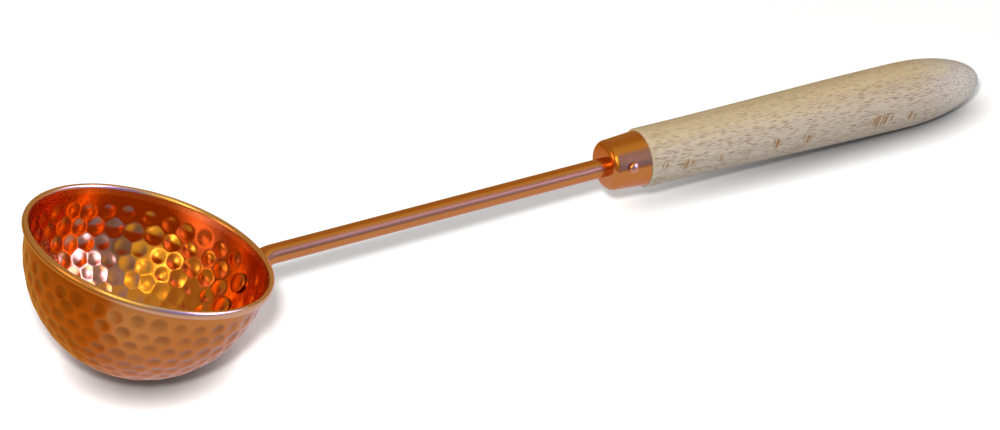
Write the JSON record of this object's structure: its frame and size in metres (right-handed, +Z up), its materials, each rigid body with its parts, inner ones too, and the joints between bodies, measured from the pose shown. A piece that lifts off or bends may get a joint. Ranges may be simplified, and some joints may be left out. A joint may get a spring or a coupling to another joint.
{
  "type": "sauna ladle",
  "caption": "Sauna ladle with a deep hammered copper bowl, a round copper shaft riveted to the bowl and a turned beech grip held in a copper ferrule.",
  "frame": {"origin": "on the table that the ladle lies on, under the middle of its bounding box", "axes": "+X along the ladle from the bowl to the tip of the grip, +Z up from the table; the ladle is symmetric about the XZ plane apart from the ferrule's nail"},
  "size_m": [0.4358, 0.101, 0.0681],
  "materials": {
    "hammered_copper": "bright copper, hammered from outside and polished",
    "drawn_copper": "bright drawn copper",
    "beech": "plain turned and sanded beech, no lacquer"
  },
  "bodies": {
    "root": {"bowl": "hammered_copper", "rim_wire": "drawn_copper", "shaft": "drawn_copper", "upper_rivet": "drawn_copper", "lower_rivet": "drawn_copper", "ferrule": "drawn_copper", "ferrule_nail": "drawn_copper", "grip": "beech"}
  },
  "joints": []
}
